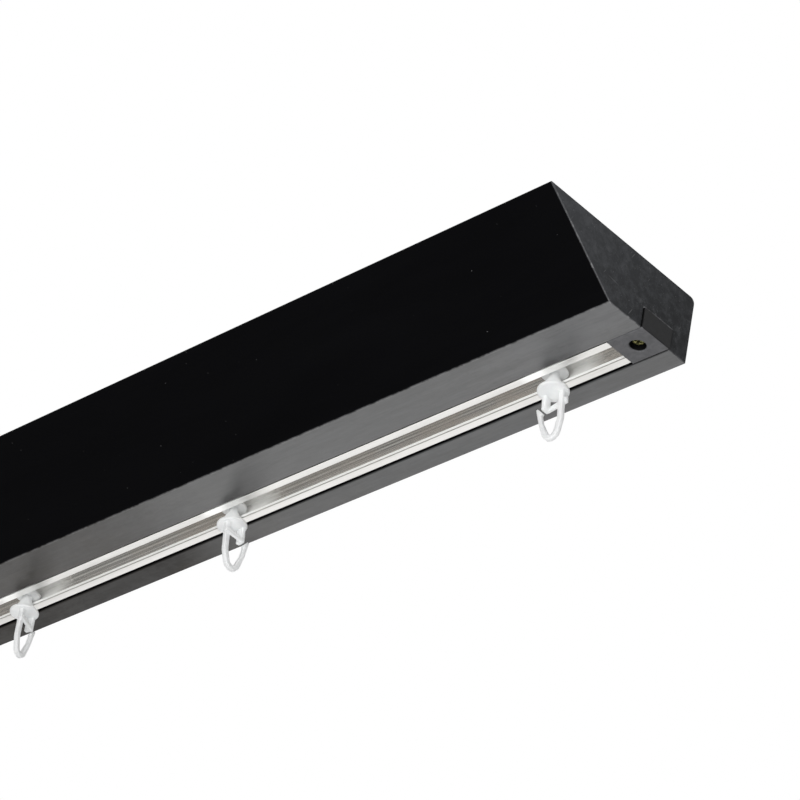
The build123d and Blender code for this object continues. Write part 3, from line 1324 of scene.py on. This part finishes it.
@dataclass
class PanScrew:
    """A pan-head screw driven upwards, in its own frame, in millimetres.

    The underside of its head's flange is at the origin and its point is above.
    """

    head_radius: float
    head_height: float
    shank_radius: float
    length: float
    dome_share: float = 0.6
    recess_slot: float = 0.9
    recess_share: float = 0.62
    recess_depth_share: float = 0.6
    recess_taper: float = 0.7
    bit_overhang: float = 1.0
    core_share: float = 0.74
    core_overlap: float = 0.4
    point_share: float = 0.12
    point_gap: float = 0.1
    pitch: float = 1.3
    thread_start: float = 1.6
    thread_steps: int = 24
    sharp_angle: float = 50.0
    voxel: float = 0.13
    smoothing: int = 2

    def head(self) -> Object:
        """Shapes the domed head with its cross recess.

        Returns:
            The head.
        """
        head = drum("screw_head", self.head_radius, -self.head_height, 0.0, 48)
        edit(head)
        low = -self.head_height
        pick(head, lambda e: max(v.co.z for v in e.verts) < low + CLOSE, "EDGE")
        bpy.ops.mesh.bevel(offset=self.head_height * self.dome_share, segments=5, affect="EDGES")
        leave_edit()
        reach = self.head_radius * self.recess_share
        half = self.recess_slot / 2
        depth = low + self.head_height * self.recess_depth_share
        narrower = (self.recess_taper, self.recess_taper, 1.0)
        foot = low - self.bit_overhang
        long_bit = block("recess_bit_x", (-reach, -half, foot), (reach, half, depth))
        cross_bit = block("recess_bit_y", (-half, -reach, foot), (half, reach, depth))
        for bit in (long_bit, cross_bit):
            edit(bit)
            pick_top(bit)
            bpy.ops.transform.resize(value=narrower, center_override=(0, 0, depth))
            leave_edit()
            apply_modifier(head, "BOOLEAN", operation="DIFFERENCE", object=bit)
            bpy.data.objects.remove(bit)
        return head

    def shank(self) -> Object:
        """Shapes the core with its pointed end.

        Returns:
            The core.
        """
        radius = self.shank_radius * self.core_share
        point = 2 * self.shank_radius
        shank = drum("screw_core", radius, -self.core_overlap, self.length - point, 32)
        edit(shank)
        pick_top(shank)
        draw_out(Vector((0, 0, point - self.point_gap)))
        narrower = (self.point_share, self.point_share, 1.0)
        bpy.ops.transform.resize(value=narrower, center_override=(0, 0, self.length))
        leave_edit()
        return shank

    def thread(self) -> Object:
        """Winds the thread's ridge up round the core.

        Returns:
            The ridge.
        """
        forget_selection()
        middle = self.shank_radius * self.core_share
        bpy.ops.mesh.primitive_circle_add(
            vertices=3,
            radius=self.shank_radius - middle,
            fill_type="NOTHING",
            location=(middle, 0, self.thread_start),
            rotation=(math.radians(90), math.radians(-90), 0),
        )
        ridge = bpy.context.object
        bpy.ops.object.transform_apply(location=True, rotation=True, scale=True)
        run = self.length - 2 * self.shank_radius - self.thread_start
        apply_modifier(
            ridge,
            "SCREW",
            screw_offset=self.pitch,
            iterations=int(run / self.pitch),
            steps=self.thread_steps,
            render_steps=self.thread_steps,
        )
        edit(ridge)
        bpy.ops.mesh.select_all(action="SELECT")
        bpy.ops.mesh.fill_holes(sides=0)
        leave_edit()
        return ridge

    def build(self) -> Object:
        """Melts head, core and thread into one screw.

        Returns:
            The screw in its own frame, in millimetres.
        """
        screw = join(self.head(), self.shank(), self.thread())
        screw.name = "screw_form"
        melt(screw, self.voxel, self.smoothing)
        select_only(screw)
        bpy.ops.object.shade_smooth_by_angle(angle=math.radians(self.sharp_angle))
        return screw


@dataclass
class ScrewRow:
    """Some like screws in a row, as one piece in the place of a CAD node."""

    node: str
    name: str
    screw: PanScrew
    count: int
    slot: str
    turn: float = 25.0
    turn_step: float = 37.0

    def build(self, material: Material) -> None:
        """Drives the screws at equal pitch between the ends of the node's box.

        Args:
            material: Their plating.
        """
        low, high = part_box(self.node)
        form = self.screw.build()
        inset = self.screw.head_radius * MM
        pitch = (high.x - low.x - 2 * inset) / (self.count - 1)
        seat = high.z - self.screw.length * MM
        screws = []
        for number in range(self.count):
            spot = Vector((low.x + inset + pitch * number, (low.y + high.y) / 2, seat))
            turn = Matrix.Rotation(math.radians(self.turn + self.turn_step * number), 4, "Z")
            move = Matrix.Translation(spot) @ turn @ Matrix.Scale(MM, 4)
            screws.append(set_copy(form, self.name, move, material))
        row = join(*screws)
        bpy.data.objects.remove(form)
        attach(row, TRACK_BODY)
        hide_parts(self.node)
        LOG.info("%d screws driven as %s", self.count, self.name)


# Stage, lamps and camera


@dataclass(frozen=True)
class Lamp:
    """A soft square lamp, by its place from the aim point, its size and its power."""

    name: str
    offset: Point
    size: float
    power: float

    def place(self, aim: Vector) -> None:
        """Hangs the lamp and turns it to the aim point.

        Args:
            aim: The point that it shines on.
        """
        data = bpy.data.lights.new(self.name, "AREA")
        data.size = self.size
        data.energy = self.power
        lamp = bpy.data.objects.new(self.name, data)
        lamp.location = aim + Vector(self.offset)
        lamp.rotation_euler = (aim - lamp.location).to_track_quat("-Z", "Y").to_euler()
        lamp.visible_camera = False
        bpy.context.scene.collection.objects.link(lamp)


@dataclass
class Studio:
    """The camera at the photograph's angle, the pale floor and the soft light."""

    camera_place: Point = (1.26287, -0.81672, -0.94000)
    camera_forward: Point = (-0.62433, 0.52292, 0.58032)
    camera_up: Point = (0.30839, -0.51756, 0.79814)
    camera_lens: float = 176.93
    sensor: float = 36.0
    aim: Point = (0.20, 0.0, -0.03)
    floor_height: float = -1.30
    floor_size: float = 30.0
    floor_pale: Colour = (0.72, 0.72, 0.71)
    floor_shade: Colour = (0.60, 0.60, 0.60)
    floor_glow: float = 0.75
    even_light: float = 0.42
    lamps: tuple[Lamp, ...] = (
        Lamp("under_back_softbox", (-0.85, 0.95, -0.80), 1.0, 5.2),
        Lamp("right_softbox", (0.90, -1.35, -0.75), 1.0, 28.0),
        Lamp("overhead_softbox", (-0.40, -0.60, 1.70), 1.6, 12.0),
    )

    def set_camera(self) -> None:
        """Sets the camera where the photograph was taken from."""
        data = bpy.data.cameras.new("camera")
        data.lens = self.camera_lens
        data.sensor_width = self.sensor
        data.clip_end = 100.0
        camera = bpy.data.objects.new("camera", data)
        forward = Vector(self.camera_forward)
        up = Vector(self.camera_up)
        turn = Matrix((forward.cross(up), up, -forward)).transposed().to_4x4()
        camera.matrix_world = Matrix.Translation(self.camera_place) @ turn
        bpy.context.scene.collection.objects.link(camera)
        bpy.context.scene.camera = camera

    def lay_floor(self) -> None:
        """Lays the floor, pale to the camera, plain to the light and open from below."""
        forget_selection()
        bpy.ops.mesh.primitive_plane_add(size=self.floor_size, location=(0, 0, self.floor_height))
        floor = bpy.context.object
        floor.name = "floor"
        s = Shader.named("pale_floor")
        plain, pale = (
            s.principled(colour, 0.9, Specular_IOR_Level=0.1)
            for colour in (self.floor_shade, self.floor_pale)
        )
        glow = s.node("ShaderNodeEmission", {}, {"Strength": self.floor_glow}).outputs[0]
        lifted = s.node("ShaderNodeAddShader", {}, {0: pale, 1: glow}).outputs[0]
        seen = s.node("ShaderNodeLightPath", {}, {}).outputs["Is Camera Ray"]
        beneath = s.node("ShaderNodeNewGeometry", {}, {}).outputs["Backfacing"]
        open_side = s.node("ShaderNodeBsdfTransparent", {}, {}).outputs[0]
        top_side = s.blend(seen, plain, lifted)
        floor.data.materials.append(s.end(s.blend(beneath, top_side, open_side)))

    def set_world(self) -> None:
        """White behind the object and in its reflections, and a low even light on it."""
        world = bpy.data.worlds.new("white_surround")
        bpy.context.scene.world = world
        s = Shader(world, "ShaderNodeOutputWorld")
        rays = s.node("ShaderNodeLightPath", {}, {}).outputs
        kinds = ("Is Camera Ray", "Is Transmission Ray", "Is Glossy Ray")
        white_seen = reduce(Value.most, [Value(s, rays[kind]) for kind in kinds])
        dim, white = (
            s.node("ShaderNodeBackground", {}, {"Color": WHITE, "Strength": strength}).outputs[0]
            for strength in (self.even_light, 1.0)
        )
        s.end(s.blend(white_seen, dim, white))

    def build(self) -> None:
        """Sets up the whole stage."""
        self.set_camera()
        self.lay_floor()
        self.set_world()
        for lamp in self.lamps:
            lamp.place(Vector(self.aim))
        bpy.context.scene.view_settings.view_transform = "Standard"
        LOG.info("camera, floor, surround and lamps are set")


def dress(node: str, material: Material) -> None:
    """Gives a CAD node its finish.

    Args:
        node: The node's name.
        material: The material for all its slots.
    """
    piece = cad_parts[node]
    if not piece.material_slots:
        piece.data.materials.append(material)
    for slot in piece.material_slots:
        slot.material = material
    LOG.info("%s dressed in %s", node, material.name)


def main() -> None:
    """Dresses the frame, builds the new pieces and sets the stage."""
    logging.basicConfig(level=logging.INFO, format="%(name)s: %(message)s")
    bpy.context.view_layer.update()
    Studio().build()
    beam_low, beam_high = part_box("cornice_beam")
    rail_low, rail_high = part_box("track_rail")
    cap_low, cap_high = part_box("end_cap_right")
    dress("cornice_beam", BlackPaint(beam_low, beam_high, cap_low, cap_high).material())
    row = GliderRow(Glider())
    dress("track_rail", MillAluminium(rail_low, rail_high, row.places()).material())
    cap = CapPlastic(cap_low, cap_high).material()
    dress("end_cap_left", cap)
    dress("end_cap_right", cap)
    yellow, bright = (ZincPlate(plating).material() for plating in Plating)
    cap_screw = PanScrew(head_radius=3.1, head_height=2.3, shank_radius=1.7, length=18.0)
    rail_screw = PanScrew(head_radius=2.7, head_height=1.7, shank_radius=1.4, length=14.0)
    ScrewRow("end_cap_screws", "cap_screws", cap_screw, 2, "yellow_zinc").build(yellow)
    ScrewRow("rail_screws", "rail_fixing_screws", rail_screw, 4, "bright_zinc").build(bright)
    row.build(MilkyPlastic().material())


if __name__ == "__main__":
    main()
